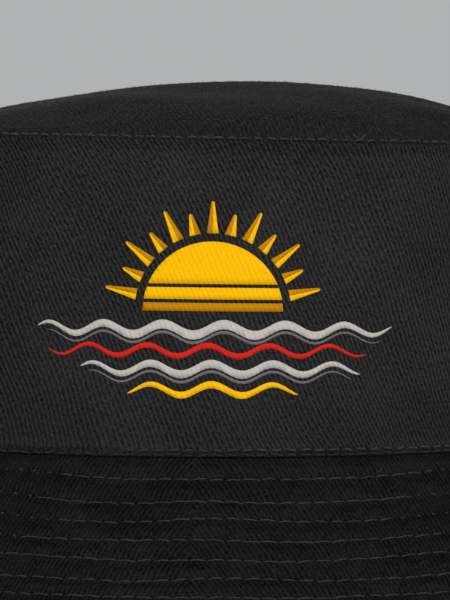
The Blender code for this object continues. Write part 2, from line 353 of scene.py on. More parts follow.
def swallowed(row, u):
    """Where a brim row is so tight that little more than its needle holes shows, 0 to 1."""
    if row >= len(BRIM_TIGHT_FROM):
        return 0 * u
    start = np.where(u < 0, *BRIM_TIGHT_FROM[row]) * MM
    return tightness(u, start - 2 * MM, start + 1 * MM)


def brim_count(row):
    """Stitches in a brim row between two side seams: the row is longer than the base seam."""
    stretch = 1 + BRIM_ROWS[row] * math.cos(BRIM_ROOT_SLOPE) / BASE_A
    return stitches_of(BRIM_STITCH / stretch)


def brim_lanes(u, s, side):
    """Millimetres round the hat, and stitch rows counted off down the slope: 0 at the seam, 9 at the rim."""
    marks = [0 * u] + [row_path(row, u, side) for row in range(len(BRIM_ROWS))] + [0 * u + BRIM_WIDTH]
    lane = sum(np.clip((s - near) / (far - near), 0, 1) for near, far in zip(marks, marks[1:]))
    return stacked(u / MM, lane)


def brim_relief(u, s, side, point, face):
    """How far the brim's upper face (face is 1) or under face (-1) stands out from its plain shape."""
    seam = QUARTER - np.abs(u)
    free = smooth(0, 8 * MM, s) * (1 - smooth(BRIM_WIDTH - 6 * MM, BRIM_WIDTH, s))
    relief = 0.25 * MM * face * drift(point, 45 * MM, seed=23) * free
    start = 0.0
    for row, end in enumerate(BRIM_ROWS):
        width = 1.15 * MM if row else 1.8 * MM
        relief = relief + stitch_pull(s - row_path(row, u, side), u, brim_count(row), 0.42 * MM, width)
        relief = relief + 0.2 * MM * bell(s - (start + end) / 2, (end - start) * 0.35)
        start = end
    return relief - 0.6 * MM * bell(seam, 0.6 * MM) + 0.12 * MM * bell(seam - SIDE_SEAM_ROW, 1.2 * MM)


def brim_rib_relief(u, s, side):
    faded = smooth(0.3 * MM, 1.5 * MM, s) * smooth(0.2 * MM, 1.0 * MM, QUARTER - np.abs(u))
    height = BRIM_RIB_SHARE * RIB_HEIGHT * (1 - 0.5 * tightness(u, 52 * MM, 66 * MM))
    return height * faded * (rib_relief(brim_weave(u, s, side)[0]) - 0.5)


def brim_cloth(u, s, side):
    """The upper face of the brim without its ribs, and the direction out of it."""
    point, normal = brim_place(u, s, 0, side)
    return point + brim_relief(u, s, side, point, 1)[..., None] * normal, normal


def brim_under_cloth(u, s, side):
    """The lower face of the brim, and the direction out of it, downwards."""
    point, normal = brim_place(u, s, BRIM_STACK, side)
    relief = 0.6 * brim_relief(u, s, side, point, -1) * smooth(0, 3 * MM, s)
    return point - relief[..., None] * normal, -normal


# The domed top: x and y in plan.


def tip_height(x, y, depth=0.0):
    share = np.hypot(x / TOP_A, y / TOP_B)
    profile = TIP_DOME_SHARE * (1 - share**2) + (1 - TIP_DOME_SHARE) * (1 - share**TIP_SHOULDER_POWER)
    return TIP_Z - SEAM_TILT * x * (1 - TIP_LEVELLING * profile) + (TIP_RISE - depth) * profile


def tip_weave(x, y):
    across, along = math.cos(TIP_RIB_ANGLE), math.sin(TIP_RIB_ANGLE)
    ribs = (x * across + y * along) / RIB_PITCH + rib_wander(x, y, seed=71)
    return ribs, (y * across - x * along) / RIB_PITCH


def tip_edge(x, y):
    """Distance in from the top seam, and the length round it to the place, counted as on the side wall."""
    turn = np.arctan2(x / TOP_A, -y / TOP_B)
    edge = (1 - np.hypot(x / TOP_A, y / TOP_B)) * np.hypot(TOP_A * np.sin(turn), TOP_B * np.cos(turn))
    return edge, np.interp(turn, BASE_TURN, BASE_ARC)


def tip_cloth(x, y, ribs=True):
    """The finished outer face of the top, and the direction out of it."""
    step = 0.05 * MM
    slope_x = (tip_height(x + step, y) - tip_height(x - step, y)) / (2 * step)
    slope_y = (tip_height(x, y + step) - tip_height(x, y - step)) / (2 * step)
    normal = unit(stacked(-slope_x, -slope_y, 1.0))
    point = stacked(x, y, tip_height(x, y))
    edge, along = tip_edge(x, y)
    relief = 0.5 * MM * drift(point, 50 * MM, seed=37) * smooth(1 * MM, 14 * MM, edge)
    relief = relief + stitch_pull(edge - TIP_ROW, along, SEAM_COUNT, 0.3 * MM, 0.6 * MM)
    relief = relief + 0.2 * MM * bell(edge - 2.4 * MM, 1.4 * MM)
    relief = relief - 0.3 * MM * (1 - smooth(0, 0.3 * MM, edge))
    if ribs:
        height = RIB_HEIGHT * smooth(0.2 * MM, 0.9 * MM, edge)
        relief = relief + height * (rib_relief(tip_weave(x, y)[0]) - 0.5)
    return point + relief[..., None] * normal, normal


def tip_row(along, side):
    """The cloth at the stitch row along the top seam, for lengths round the hat as on the side wall."""
    share = 1 - TIP_ROW / ((TOP_A + TOP_B) / 2)
    return tip_cloth(*oval(TOP_A * share, TOP_B * share, turn_at(along), side), ribs=False)


# Materials.


def add_node(tree, kind, inputs=(), **settings):
    """A shader node. inputs are (socket, value or another node's output) pairs."""
    made = tree.nodes.new(kind)
    for name, value in settings.items():
        setattr(made, name, value)
    for socket, value in inputs:
        if isinstance(value, bpy.types.NodeSocket):
            tree.links.new(value, made.inputs[socket])
        else:
            made.inputs[socket].default_value = value
    return made


def calculate(tree, operation, *values):
    return add_node(tree, "ShaderNodeMath", enumerate(values), operation=operation).outputs[0]


def place_of(tree):
    return add_node(tree, "ShaderNodeTexCoord").outputs["Object"]


def layer_of(tree, name="weave"):
    """The coordinates of a layer: both of them, the first and the second."""
    both = add_node(tree, "ShaderNodeUVMap", uv_map=name).outputs[0]
    split = add_node(tree, "ShaderNodeSeparateXYZ", ((0, both),))
    return both, split.outputs["X"], split.outputs["Y"]


def noise(tree, vector, scale, detail=3.0, roughness=0.6):
    inputs = (("Vector", vector), ("Scale", scale), ("Detail", detail), ("Roughness", roughness))
    return add_node(tree, "ShaderNodeTexNoise", inputs).outputs[0]


def stretched_noise(tree, vector, scale, location=(0, 0, 0), turn=0.0, detail=2.0, roughness=0.6):
    """Noise with a scale for each of a layer's two coordinates, turned in their plane."""
    moves = (("Location", location), ("Rotation", (0, 0, turn)), ("Scale", (*scale, 1.0)))
    mapped = add_node(tree, "ShaderNodeMapping", (("Vector", vector), *moves)).outputs[0]
    return noise(tree, mapped, 1.0, detail, roughness)


def tone(tree, value, low, high, dark, light):
    """Colours from dark to light as a value goes from low to high."""
    ramp = add_node(tree, "ShaderNodeValToRGB", ((0, value),))
    first, last = ramp.color_ramp.elements
    first.position, last.position = low, high
    first.color, last.color = (*dark, 1), (*light, 1)
    return ramp.outputs[0]


def new_material(name, roughness, specular, sheen, sheen_roughness=0.5):
    """A Principled material, its tree and its shader node, with the values that are the same all over it."""
    material = bpy.data.materials.new(name)
    material.use_nodes = True
    shader = material.node_tree.nodes["Principled BSDF"]
    shader.inputs["Roughness"].default_value = roughness
    shader.inputs["Specular IOR Level"].default_value = specular
    shader.inputs["Sheen Weight"].default_value = sheen
    shader.inputs["Sheen Roughness"].default_value = sheen_roughness
    return material, material.node_tree, shader


def finish_material(tree, shader, colour, height, distance):
    bump = add_node(tree, "ShaderNodeBump", (("Height", height), ("Distance", distance), ("Strength", 1.0)))
    tree.links.new(colour, shader.inputs["Base Color"])
    tree.links.new(bump.outputs["Normal"], shader.inputs["Normal"])


def wave_of(tree, value, turns):
    """A sine of so many turns for each unit of a value."""
    return calculate(tree, "SINE", calculate(tree, "MULTIPLY", value, 2 * math.pi * turns))


def weighed(tree, *terms):
    """The sum of values, each with its weight."""
    total = calculate(tree, "MULTIPLY", *terms[0])
    for value, weight in terms[1:]:
        total = calculate(tree, "MULTIPLY_ADD", value, weight, total)
    return total


def grey(value, warmth=0.0):
    return value * (1 + warmth), value, value * (1 - warmth)


def ramp_up(tree, value, low, high, start, end):
    """A straight change from start to end as a value goes from low to high, level beyond."""
    ranges = (("Value", value), ("From Min", low), ("From Max", high), ("To Min", start), ("To Max", end))
    return add_node(tree, "ShaderNodeMapRange", ranges).outputs[0]


def twill_material(name, dark, light, rib_share, contrast, floats=1.3, seams=None, even=None, lanes=False):
    """Cotton twill: painted shade in the valleys between the ribs and a painted highlight on their ridges,
    short yarn floats that cross them, and fine fluff.

    floats is how many of the yarn's light and dark places there are along a rib in the length of its pitch.
    seams gives the weave's second coordinate at the edges of the pressed strips along the panel's two seams.
    The ribs' painted light and shade are weaker in the strip at the foot, and painted shade makes the cloth
    darker under the top seam and towards the foot. even gives the heights where the cloth is at its most
    even and least even, and how much of its contrast is left at the first. lanes makes it patchy between its
    rows of
    stitches, with painted light and shade: lighter just above each row than below it, and a painted
    highlight across the first lane below the base seam.
    """
    material, tree, shader = new_material(
        name, roughness=0.9, specular=0.01, sheen=0.02, sheen_roughness=0.25
    )
    weave, ribs, rows = layer_of(tree)
    place = place_of(tree)
    # Painted shade in the valleys between the ribs and a painted highlight on their ridges; rib_share is
    # their share of the colour.
    wave = wave_of(tree, calculate(tree, "SUBTRACT", ribs, 0.25), 1)
    rib = calculate(tree, "POWER", calculate(tree, "MULTIPLY_ADD", wave, 0.5, 0.5), 1.7)
    rib = calculate(tree, "MULTIPLY_ADD", rib, 1.2, 0.05)
    if seams:
        foot, head = seams
        # The ribs' painted light and shade fade to little in the strip at the foot.
        rib = calculate(tree, "MULTIPLY", rib, ramp_up(tree, rows, foot - 0.3, foot + 0.3, 0.15, 1.0))
    yarn = stretched_noise(tree, weave, (2.4, floats), turn=0.27 * floats, detail=3.0, roughness=0.65)
    fibre = noise(tree, place, 2300.0, 2.0)
    patch = noise(tree, place, 55.0)
    rest = (1 - rib_share) / 8
    mixed = weighed(tree, (rib, rib_share), (yarn, 5 * rest), (fibre, 2 * rest), (patch, rest))
    if seams:
        # Painted shade: darker under the top seam and towards the foot.
        mixed = calculate(tree, "ADD", mixed, ramp_up(tree, rows, head - 1.0, head + 0.6, 0.0, -0.028))
        mixed = calculate(tree, "ADD", mixed, ramp_up(tree, rows, foot, foot + 13.0, -0.022, 0.0))
    if even:
        height = add_node(tree, "ShaderNodeSeparateXYZ", ((0, place),)).outputs["Z"]
        left = ramp_up(tree, height, *even, 1.0)
        mixed = calculate(tree, "MULTIPLY_ADD", calculate(tree, "SUBTRACT", mixed, 0.5), left, 0.5)
    if lanes:
        around_and_lane, _, lane = layer_of(tree, "lanes")
        patches = stretched_noise(tree, around_and_lane, (0.06, 1.0), location=(3.7, 0.4, 0))
        spots = stretched_noise(tree, around_and_lane, (0.3, 2.2), location=(1.3, 7.9, 0))
        # lower, shaded and first are painted light and shade: each lane lighter just above the row that ends
        # it than just below the row it starts from, and a painted highlight across the first lane below the
        # base seam. patches and spots are random tone.
        lower = wave_of(tree, calculate(tree, "SUBTRACT", lane, 0.5), 1)
        shaded = ramp_up(tree, lane, 0.15, 0.6, 0.0, 0.032)
        first = ramp_up(tree, lane, 0.75, 1.05, 0.0, -0.032)
        change = weighed(tree, (patches, 0.18), (spots, 0.16), (lower, 0.013), (shaded, 1.0), (first, 1.0))
        mixed = calculate(tree, "ADD", mixed, calculate(tree, "SUBTRACT", change, 0.17))
    colour = tone(tree, mixed, 0.5 - 0.11 / contrast, 0.5 + 0.21 / contrast, dark, light)
    finish_material(tree, shader, colour, weighed(tree, (yarn, 0.6), (fibre, 0.4)), 0.2 * MM)
    return material


def thread_material(name, dark, light):
    """Spun thread, its twist shown as slanting bands along each stitch."""
    material, tree, shader = new_material(name, roughness=0.6, specular=0.3, sheen=0.05)
    _, around, along = layer_of(tree)
    strand = wave_of(tree, calculate(tree, "ADD", around, along), 1)
    place = place_of(tree)
    value = weighed(tree, (strand, 0.15), (noise(tree, place, 160.0), 1.0))
    height = weighed(tree, (strand, 1.0), (noise(tree, place, 3000.0), 1.0))
    finish_material(tree, shader, tone(tree, value, 0.25, 0.75, dark, light), height, 0.04 * MM)
    return material


def tape_material(name, dark, light, yarns, roughness=0.85, specular=0.2):
    """Plain woven tape or satin: fine yarns both ways, so many to the millimetre."""
    material, tree, shader = new_material(name, roughness, specular, sheen=0.08)
    _, across, along = layer_of(tree)
    over = calculate(tree, "MULTIPLY", wave_of(tree, across, yarns), wave_of(tree, along, yarns))
    place = place_of(tree)
    value = weighed(tree, (over, 0.22), (noise(tree, place, 90.0), 1.0))
    height = weighed(tree, (over, 1.0), (noise(tree, place, 2200.0), 1.0))
    finish_material(tree, shader, tone(tree, value, 0.2, 0.8, dark, light), height, 0.05 * MM)
    return material


def print_material(name, colour):
    """Matt ink on the twill, with painted shade that makes it darker down in the weave's valleys."""
    material, tree, shader = new_material(name, roughness=0.8, specular=0.03, sheen=0.0)
    _, ribs, _ = layer_of(tree)
    wave = calculate(tree, "ABSOLUTE", wave_of(tree, ribs, 0.5))
    grain = noise(tree, place_of(tree), 1500.0)
    # Painted shade: the ink's colour in the valleys between the ribs.
    valley_shade_colour = tuple(c * 0.72 for c in colour)
    shaded = tone(tree, weighed(tree, (wave, 0.5), (grain, 0.6)), 0.1, 0.6, valley_shade_colour, colour)
    finish_material(tree, shader, shaded, grain, 0.03 * MM)
    return material


WARMTH = 0.01  # of the black cotton
# Rows of the weave that bound the side's painted shade along its seams.
SEAM_STRIPS = 1.8, (WALL_HEIGHT - 3.0 * MM) / RIB_PITCH
WALL_EVEN = WALL_Z + 4 * MM, WALL_Z + 28 * MM, 0.8
TOP_EVEN = SEAM_Z + 4 * MM, CREST_Z, 0.45
TWILL = twill_material(
    "twill", grey(0.0045, WARMTH), grey(0.0345, WARMTH), rib_share=0.11, contrast=1.05,
    seams=SEAM_STRIPS, even=WALL_EVEN,
)
TOP_TWILL = twill_material(
    "top_twill", grey(0.0022, WARMTH), grey(0.028, WARMTH), rib_share=0.06, contrast=1.6,
    floats=0.65, even=TOP_EVEN,
)
# A darker copy of the side's twill for the brim: painted shade, as the brim's cloth is the same.
BRIM_TWILL = twill_material(
    "brim_twill", grey(0.0024, WARMTH), grey(0.0127, WARMTH), rib_share=0.09, contrast=1.2, lanes=True
)
BLACK_THREAD = thread_material("thread", grey(0.006, WARMTH), grey(0.021, WARMTH))
# A darker copy of the thread for the brim's rows: painted shade.
BRIM_THREAD = thread_material("brim_thread", grey(0.0015, WARMTH), grey(0.011, WARMTH))
BLACK_TAPE = tape_material("tape", grey(0.010), grey(0.026), yarns=1.4)
SATIN = tape_material(
    "satin", (0.50, 0.49, 0.46), (0.68, 0.67, 0.63), yarns=3.0, roughness=0.45, specular=0.5
)
FLUFF = thread_material("fluff", grey(0.025), grey(0.06))
LINT = thread_material("lint", grey(0.05), grey(0.12))
AMBER = print_material("print_amber", (0.72, 0.375, 0.001))
BRONZE = print_material("print_bronze", (0.40, 0.17, 0.001))
SILVER = print_material("print_grey", (0.385, 0.365, 0.335))
STEEL = print_material("print_steel", (0.115, 0.112, 0.11))
RED = print_material("print_red", (0.50, 0.014, 0.008))


# Meshes.

SAME = 1e-8  # metres between neighbours that are one vertex
ROW_SAMPLES = 3000  # along a row of vertices, to find its ribs by


def faces_of(corners):
    """Faces from an array of four corners each, with repeated corners dropped."""
    same = corners == np.roll(corners, -1, axis=1)
    faces = corners[~same.any(axis=1)].tolist()
    for quad in corners[same.sum(axis=1) == 1].tolist():
        faces.append([v for i, v in enumerate(quad) if v != quad[(i + 1) % 4]])
    return faces


def add_object(name, data):
    thing = bpy.data.objects.new(name, data)
    bpy.context.scene.collection.objects.link(thing)
    return thing


def put(name, vertices, faces, material, uv, lanes=None):
    """Makes a piece of a mesh. uv is each vertex's place in the weave, and lanes among the stitch rows."""
    mesh = bpy.data.meshes.new(name)
    mesh.from_pydata(np.asarray(vertices).tolist(), [], faces)
    loop_vertex = np.empty(len(mesh.loops), np.int32)
    mesh.loops.foreach_get("vertex_index", loop_vertex)
    for layer_name, values in (("weave", uv), ("lanes", lanes)):
        if values is not None:
            layer = mesh.uv_layers.new(name=layer_name)
            layer.data.foreach_set("uv", np.asarray(values)[loop_vertex].astype(np.float32).ravel())
    mesh.shade_smooth()
    mesh.materials.append(material)
    thing = add_object(name, mesh)
    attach(thing, "root")
    return thing


def shell(name, points, position, uv, material, lanes=None):
    """A closed shell from a grid. Its columns go all round the panel's section, and its ends are capped.

    position tells neighbours in a row apart: where two are equal they are one vertex.
    """
    fresh = np.ones(position.shape, bool)
    fresh[:, 1:] = np.abs(np.diff(position, axis=1)) > SAME
    ids = np.cumsum(fresh.ravel()).reshape(position.shape) - 1
    below = np.roll(ids, -1, axis=0)
    corners = stacked(ids[:, :-1], ids[:, 1:], below[:, 1:], below[:, :-1])
    faces = faces_of(corners.reshape(-1, 4)) + [ids[:, 0].tolist(), ids[::-1, -1].tolist()]
    lanes = None if lanes is None else lanes[fresh]
    return put(name, points[fresh], faces, material, uv[fresh], lanes)


def closed_ring(name, points, uv, material):
    """A ring from a grid that closes both ways."""
    rows, columns, _ = points.shape
    ids = np.arange(rows * columns).reshape(rows, columns)
    right = np.roll(ids, -1, axis=1)
    corners = stacked(ids, right, np.roll(right, -1, axis=0), np.roll(ids, -1, axis=0))
    put(name, points.reshape(-1, 3), corners.reshape(-1, 4).tolist(), material, uv.reshape(-1, 2))


def where_ribs_are(count_of, low, high, wanted):
    """Where from low to high along a row the rib count reaches each wanted value, or the nearer end."""
    along = np.linspace(low, high, ROW_SAMPLES)
    return np.interp(wanted, count_of(along), along)


def rib_columns(counts, columns):
    """Rib counts for the columns of a grid, enough to cover every row's counts."""
    return np.arange(math.floor(counts.min() * columns), math.ceil(counts.max() * columns) + 1) / columns


def edged_rows(length, steps, stride):
    """Distances from 0 to length, at steps from either end and about a stride apart between."""
    steps = np.array(steps)
    count = round((length - 2 * steps[-1]) / stride)
    middle = np.linspace(steps[-1], length - steps[-1], count + 1)[1:-1]
    return np.concatenate((steps, middle, (length - steps)[::-1]))


def bore(thing, holes, radius, reach):
    """Cuts round holes through a piece. Each of holes is its middle and its direction."""
    cutter = bmesh.new()
    for middle, direction in holes:
        turn = Vector(direction).to_track_quat("Z", "Y").to_matrix().to_4x4()
        turn.translation = Vector(middle)
        bmesh.ops.create_cone(
            cutter, cap_ends=True, segments=28, radius1=radius, radius2=radius, depth=reach, matrix=turn
        )
    mesh = bpy.data.meshes.new("cutter")
    cutter.to_mesh(mesh)
    cutter.free()
    tool = add_object("cutter", mesh)
    cut = thing.modifiers.new("holes", "BOOLEAN")
    cut.object = tool
    cut.operation = "DIFFERENCE"
    cut.solver = "EXACT"
    ready = thing.evaluated_get(bpy.context.evaluated_depsgraph_get())
    mesh = bpy.data.meshes.new_from_object(ready)
    thing.modifiers.clear()
    thing.data = mesh
    bpy.data.objects.remove(tool)


# Threads.

TWIST = 1.2 * MM  # the length in which a thread's strands go round once


def tubes(name, centres, outs, radii, sides, material):
    """Many threads as one piece. centres and outs are (thread, step, 3) arrays, radii (thread, step)."""
    centres, outs = np.array(centres), np.array(outs)
    count, steps, _ = centres.shape
    ahead = unit(np.gradient(centres, axis=1))
    across = unit(np.cross(ahead, outs))
    up = np.cross(across, ahead)
    angle = 2 * np.pi * np.arange(sides) / sides
    ring = spokes(angle, up[:, :, None], across[:, :, None])
    skin = centres[:, :, None] + ring * radii[:, :, None, None]
    ends = centres[:, [0, -1]] + ahead[:, [0, -1]] * radii[:, [0, -1], None] * np.array([-0.6, 0.6])[:, None]
    vertices = np.concatenate((skin.reshape(count, -1, 3), ends), axis=1)
    run = np.cumsum(np.linalg.norm(np.diff(centres, axis=1, prepend=centres[:, :1]), axis=-1), axis=1)
    uv = stacked(np.tile(np.arange(sides) / sides, steps), np.repeat(run / TWIST, sides, axis=1))
    uv = np.concatenate((uv, np.zeros((count, 2, 2))), axis=1)
    first = np.arange(sides)
    second = (first + 1) % sides
    start = (np.arange(steps - 1) * sides)[:, None]
    quads = stacked(start + first, start + second, start + sides + second, start + sides + first)
    per = steps * sides + 2
    tail = (steps - 1) * sides
    fans = np.concatenate((stacked(second, first, per - 2), stacked(tail + first, tail + second, per - 1)))
    base = (np.arange(count) * per)[:, None, None]
    faces = (quads.reshape(1, -1, 4) + base).reshape(-1, 4).tolist()
    faces += (fans + base).reshape(-1, 3).tolist()
    return put(name, vertices.reshape(-1, 3), faces, material, uv.reshape(-1, 2))


STITCH_STEPS = np.array([0.0, 0.1, 0.5, 0.9, 1.0])
STITCH_RISE = np.array([-0.9, 0.5, 0.65, 0.5, -0.9])  # above the cloth, in radii
STITCH_GIRTH = np.array([0.7, 1.0, 1.05, 1.0, 0.7])


def stitch_paths(at, middles, length, seed, shares=1.0, girth=1.0):
    """Centres, outward directions and radii of a row's stitches. at(along) gives the cloth there.

    shares are the parts of their length that show, where the cloth swallows the rest.
    """
    chance = np.random.RandomState(seed)
    count = len(middles)
    own = length * shares * np.clip(chance.normal(1.0, 0.13, count), 0.7, 1.22)
    shift = length * chance.normal(0, 0.03, count)
    along = (middles + shift)[:, None] + own[:, None] * (STITCH_STEPS - 0.5)
    point, normal = at(along)
    across = np.cross(normal, unit(np.gradient(point, axis=1)))
    lean = chance.normal(0, 0.17 * MM, (count, 1)) * (STITCH_STEPS - 0.5) * 2
    swing = lean + chance.normal(0, 0.07 * MM, (count, 1))
    rise = THREAD * (STITCH_RISE + chance.normal(0, 0.22, (count, 1)))
    centres = point + normal * rise[..., None] + across * swing[..., None]
    return centres, normal, THREAD * girth * STITCH_GIRTH * chance.normal(1.0, 0.1, (count, 1))


def sew(name, rows, sides=6, thread=BLACK_THREAD):
    """Joins rows of stitches into one piece."""
    centres, outs, radii = (np.concatenate(parts) for parts in zip(*rows))
    tubes(name, centres, outs, radii, sides, thread)


def middles_of(count):
    """Middles of the stitches between two side seams, whose ends lie at the needle's holes."""
    return QUARTER * (2 * (np.arange(count) + 0.5) / count - 1)


# The panels.

EDGE_STEPS = mm(0, 0.18, 0.4, 0.7, 1.0, 1.35, 1.75, 2.1, 2.5, 3.0, 3.7, 4.8)
WALL_ROWS = edged_rows(WALL_HEIGHT, EDGE_STEPS, stride=2.4 * MM)
WALL_COLUMNS = 4  # to a rib
BRIM_COLUMNS = 3
HIDDEN_ROWS = 9  # of the brim's plies, on the faces that meet
LINING_COLUMNS, BAND_COLUMNS, TAPE_COLUMNS = 260, 430, 300  # in all, where no ribs are modelled


def make_wall(place, side):
    """A side panel of the crown."""
    ends = np.array([wall_ribs(np.array([-PANEL_END, PANEL_END]), h) for h in WALL_ROWS])
    wanted = rib_columns(ends, WALL_COLUMNS)
    heights = np.concatenate((WALL_ROWS, np.linspace(WALL_HEIGHT, -WALL_TUCK, 8)))
    u = np.array([where_ribs_are(lambda a: wall_ribs(a, h), -PANEL_END, PANEL_END, wanted) for h in heights])
    h = np.broadcast_to(heights[:, None], u.shape)
    outer = len(WALL_ROWS)
    face, _ = wall_cloth(u[:outer], h[:outer], side)
    lining, _ = wall_place(u[outer:], h[outer:], side, CLOTH)
    uv = stacked(wall_ribs(u, h), h / RIB_PITCH)
    return shell("side_cloth_" + place, np.concatenate((face, lining)), u, uv, TWILL)


def brim_row_distances():
    """Distances down the slope for the brim's rows of vertices, closest at its stitch rows."""
    near = mm(-1.2, -0.5, 0.0, 0.5, 1.2)
    distances = list(mm(0, 0.4, 0.9, 1.6, 2.8, 4.4))
    for start, end in zip(BRIM_ROWS, BRIM_ROWS[1:] + (BRIM_WIDTH,)):
        distances += [start + d for d in near]
        if end < BRIM_WIDTH:
            distances.append((start + end) / 2)
    return np.array(distances)


def row_shift(s, u, side):
    """How far the wandering stitch rows carry a place on the brim down its slope."""
    marks = (0.0,) + BRIM_ROWS + (BRIM_WIDTH,)
    after = next(i for i, mark in enumerate(marks) if s <= mark + 1e-9)
    if after == 0:
        return 0 * u
    first, last = marks[after - 1], marks[after]
    share = (s - first) / (last - first)
    total = 0 * u
    if after >= 2:
        total = total + (1 - share) * (row_path(after - 2, u, side) - first)
    if after <= len(BRIM_ROWS):
        total = total + share * (row_path(after - 1, u, side) - last)
    return total


def brim_grid(s_rows, side):
    """u and s for a grid on the brim, whose columns follow the ribs on both sides of where these meet."""
    meet = rib_meet(side)
    blocks = []
    for low, high, way in ((-PANEL_END, meet, -1), (meet, PANEL_END, 1)):
        count = lambda a, s: way * brim_weave(a, s, side)[0]
        ends = np.array([count(np.array([low, high]), s) for s in (0.0, BRIM_WIDTH)])
        wanted = rib_columns(ends, BRIM_COLUMNS)
        rows = []
        for s in s_rows:
            count_of = lambda a: count(a, s + row_shift(s, a, side))
            rows.append(where_ribs_are(count_of, low, high, wanted))
        blocks.append(np.array(rows))
    u = np.concatenate(blocks, axis=1)
    return u, np.array([s + row_shift(s, row, side) for s, row in zip(s_rows, u)])


def make_brim_top(place, side):
    """The brim's upper ply, with its rim turned under the lower one."""
    upper = brim_row_distances()
    radius = BRIM_STACK / 2
    nose = BRIM_WIDTH - RIM_NOSE
    bend = np.radians([20, 45, 70, 95, 120, 145, 165])
    fold_end = BRIM_WIDTH - RIM_FOLD
    fold = np.array([nose, fold_end + 1.2 * MM, fold_end + 0.2 * MM])
    fold_depth = BRIM_STACK - np.array([0, 0, 0.2 * MM])
    inner = np.linspace(fold_end, 0, HIDDEN_ROWS)
    s_rows = np.concatenate((upper, nose + radius * np.sin(bend), fold, inner))
    depth = np.concatenate((0 * upper, radius * (1 - np.cos(bend)), fold_depth, np.full(len(inner), CLOTH)))
    shown = np.concatenate((0 * upper + 1, np.clip(np.cos(bend), 0, 1), 0 * fold, 0 * inner))
    clipped = np.minimum(s_rows, BRIM_WIDTH)
    u, s = brim_grid(clipped, side)
    s = s + (s_rows - clipped)[:, None]
    point, normal = brim_place(u, s, depth[:, None], side)
    relief = (brim_relief(u, s, side, point, 1) + brim_rib_relief(u, s, side)) * shown[:, None]
    point = point + relief[..., None] * normal
    uv, lanes = stacked(*brim_weave(u, s, side))[::-1], brim_lanes(u, s, side)[::-1]
    return shell("brim_cloth_" + place, point[::-1], u[::-1], uv, BRIM_TWILL, lanes)


def make_brim_under(place, side):
    """The brim's lower ply."""
    end = BRIM_WIDTH - RIM_FOLD - GAP
    lower = brim_row_distances()
    lower = np.append(lower[lower < end - GAP], end)
    upper = np.linspace(end, 0, HIDDEN_ROWS)
    s_rows = np.concatenate((lower, upper))
    u = np.tile(np.linspace(-PANEL_END, PANEL_END, LINING_COLUMNS), (len(s_rows), 1))
    moves = np.array([row_shift(s, row, side) for s, row in zip(s_rows, u)])
    moves[len(lower) - 1 : len(lower) + 1] = 0
    s = s_rows[:, None] + moves
    face, _ = brim_under_cloth(u[: len(lower)], s[: len(lower)], side)
    hidden, _ = brim_place(u[len(lower) :], s[len(lower) :], CLOTH + GAP, side)
    points = np.concatenate((face, hidden))
    uv, lanes = stacked(*brim_weave(-u, s, side)), brim_lanes(u, s, side)
    return shell("brim_lining_" + place, points, u, uv, BRIM_TWILL, lanes)


def make_tip():
    """The domed top panel. Its columns are chords along the ribs."""
    across, along = TOP_A * math.cos(TIP_RIB_ANGLE), TOP_B * math.sin(TIP_RIB_ANGLE)
    reach = math.hypot(across, along)
    last = 0.99996  # the outermost chord's distance from the middle, as a share
    step = RIB_PITCH / WALL_COLUMNS / reach
    inside = np.arange(-math.floor(last / step), math.floor(last / step) + 1) * step
    distance = np.concatenate(([-last], inside, [last]))
    rows = edged_rows(2 * TOP_B, EDGE_STEPS, stride=2.6 * MM) / TOP_B - 1
    share = np.concatenate((rows, np.linspace(1, -1, 20)))[:, None]
    half = np.sqrt(1 - distance**2)
    x = TOP_A * (distance * across - share * half * along) / reach
    y = TOP_B * (distance * along + share * half * across) / reach
    outer, _ = tip_cloth(x[: len(rows)], y[: len(rows)])
    in_x, in_y = x[len(rows) :], y[len(rows) :]
    inner = stacked(in_x * (1 - CLOTH / TOP_A), in_y * (1 - CLOTH / TOP_B), tip_height(in_x, in_y, CLOTH))
    position = np.broadcast_to(distance, x.shape)
    uv = stacked(*tip_weave(x, y))
    return shell("top_cloth", np.concatenate((outer, inner)), position, uv, TOP_TWILL)


# Inside the hat.


def band_place(turn, rise, depth):
    """A point on the sweatband: turn from the front, rise above its foot, depth in from its outer face."""
    offset = -BAND_LEAN * rise / BAND_HEIGHT - depth
    return stacked(*oval(BAND_A + offset, BAND_B + offset, turn), BAND_Z + rise)


def inward(turn):
    """The level direction from the sweatband to the middle."""
    return unit(stacked(-np.sin(turn) / BAND_A, np.cos(turn) / BAND_B, 0 * turn))


def band_inner(turn, rise):
    """The sweatband's inner face, and the direction out of it, to the middle."""
    point = band_place(turn, rise, CLOTH)
    sag = 0.3 * MM * (1 + drift(point, 70 * MM, seed=41)) * smooth(3 * MM, 20 * MM, rise)
    foot, head = (bell(rise - row, 0.7 * MM) for row in BAND_ROWS)
    hem = -0.18 * MM * head - 0.2 * MM * foot
    return point + (sag + hem)[..., None] * inward(turn), inward(turn)


def strip_turns(columns):
    return np.linspace(-np.pi + STRIP_END, np.pi - STRIP_END, columns)


